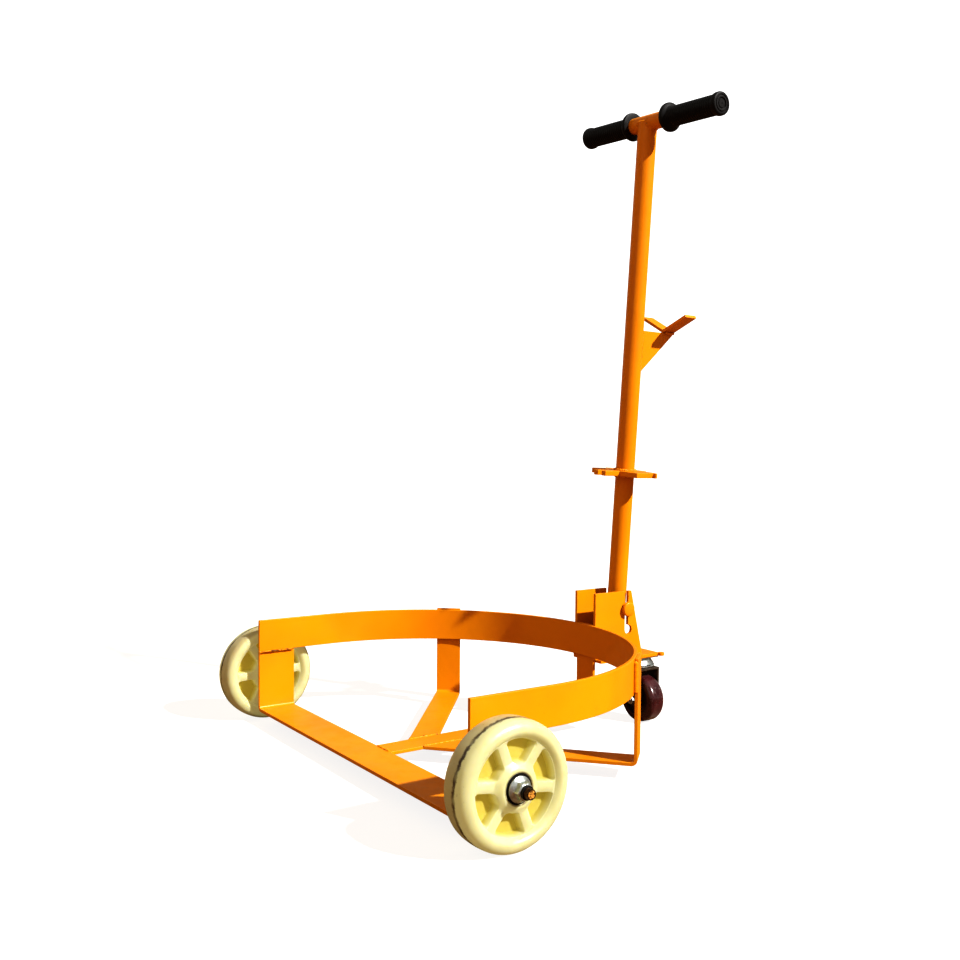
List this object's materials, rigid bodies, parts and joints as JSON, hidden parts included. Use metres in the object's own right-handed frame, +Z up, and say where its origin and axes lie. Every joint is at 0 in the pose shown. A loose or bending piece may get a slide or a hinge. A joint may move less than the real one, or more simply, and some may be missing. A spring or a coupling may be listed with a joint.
{
  "type": "drum dolly",
  "caption": "Low-profile drum dolly: U-shaped ring on two fixed nylon wheels and a swivel caster, with a lift-out, tilting T-handle.",
  "frame": {"origin": "centre of the drum seat: on the ring's axis, at the top face of the spine bar, 24.5 mm above the floor", "axes": "+Z up; -Y towards the open mouth where the drum enters; +Y to the rear, where the caster and the handle are; +X to the right"},
  "size_m": [0.768, 0.6336, 0.9856],
  "materials": {
    "frame_paint": "gloss orange-yellow enamel",
    "wheel_nylon": "semi-gloss cream cast nylon",
    "zinc": "bright zinc plate",
    "bearing_steel": "ground steel",
    "black_rubber": "matt black rubber",
    "caster_polyurethane": "glossy maroon polyurethane",
    "caster_core_iron": "black painted casting",
    "black_steel": "black pressed steel",
    "bush_nylon": "plain nylon"
  },
  "bodies": {
    "frame": {"ring_band": "frame_paint", "front_crossbar": "frame_paint", "spine_bar": "frame_paint", "caster_mount_plate": "frame_paint", "left_rear_leg": "frame_paint", "right_rear_leg": "frame_paint", "left_bracket_plate": "frame_paint", "right_bracket_plate": "frame_paint", "left_axle_stub": "frame_paint", "right_axle_stub": "frame_paint", "axle_collars": "frame_paint", "bearing_spacers": "bearing_steel", "bearing_inner_races": "bearing_steel", "axle_flange_nuts": "zinc", "axle_nut_inserts": "black_rubber", "caster_top_plate": "zinc", "caster_kingpin": "zinc"},
    "left_wheel": {"left_wheel": "wheel_nylon", "left_bearing_outer_races": "bearing_steel", "left_bearing_balls": "bearing_steel", "left_bearing_seals": "black_rubber"},
    "right_wheel": {"right_wheel": "wheel_nylon", "right_bearing_outer_races": "bearing_steel", "right_bearing_balls": "bearing_steel", "right_bearing_seals": "black_rubber"},
    "caster_swivel": {"caster_fork": "black_steel", "caster_swivel_balls": "bearing_steel", "caster_axle_bolt": "zinc", "caster_axle_nut": "zinc", "caster_axle_sleeve": "zinc"},
    "caster_wheel": {"caster_wheel_core": "caster_core_iron", "caster_tyre": "caster_polyurethane", "caster_wheel_bushes": "bush_nylon"},
    "handle_pivot": {"pivot_pin": "zinc", "pivot_pin_heads": "frame_paint", "pivot_washers": "zinc"},
    "handle": {"handle_tube": "frame_paint", "handle_foot_plug": "black_rubber", "handle_cross_tube": "frame_paint", "left_grip": "black_rubber", "right_grip": "black_rubber", "wrench_plate": "frame_paint", "hook_gusset": "frame_paint", "hook_fork": "frame_paint"}
  },
  "joints": [
    {"name": "left_wheel_spin", "type": "hinge", "parent": "frame", "child": "left_wheel", "pos_m": [-0.3395, -0.095, 0.0505], "axis": [1, 0, 0], "continuous": true},
    {"name": "right_wheel_spin", "type": "hinge", "parent": "frame", "child": "right_wheel", "pos_m": [0.3395, -0.095, 0.0505], "axis": [1, 0, 0], "continuous": true},
    {"name": "caster_swivel", "type": "hinge", "parent": "frame", "child": "caster_swivel", "pos_m": [0, 0.413, 0.0735], "axis": [0, 0, 1], "continuous": true},
    {"name": "caster_wheel_spin", "type": "hinge", "parent": "caster_swivel", "child": "caster_wheel", "pos_m": [0.02, 0.413, 0.013], "axis": [0, 1, 0], "continuous": true},
    {"name": "handle_lift", "type": "slide", "parent": "frame", "child": "handle_pivot", "axis": [0, 0, 1], "range_m": [0, 0.1]},
    {"name": "handle_tilt", "type": "hinge", "parent": "handle_pivot", "child": "handle", "pos_m": [0, 0.371, 0.1655], "axis": [-0.998, 0, 0.0628], "range_deg": [-10, 40]}
  ]
}
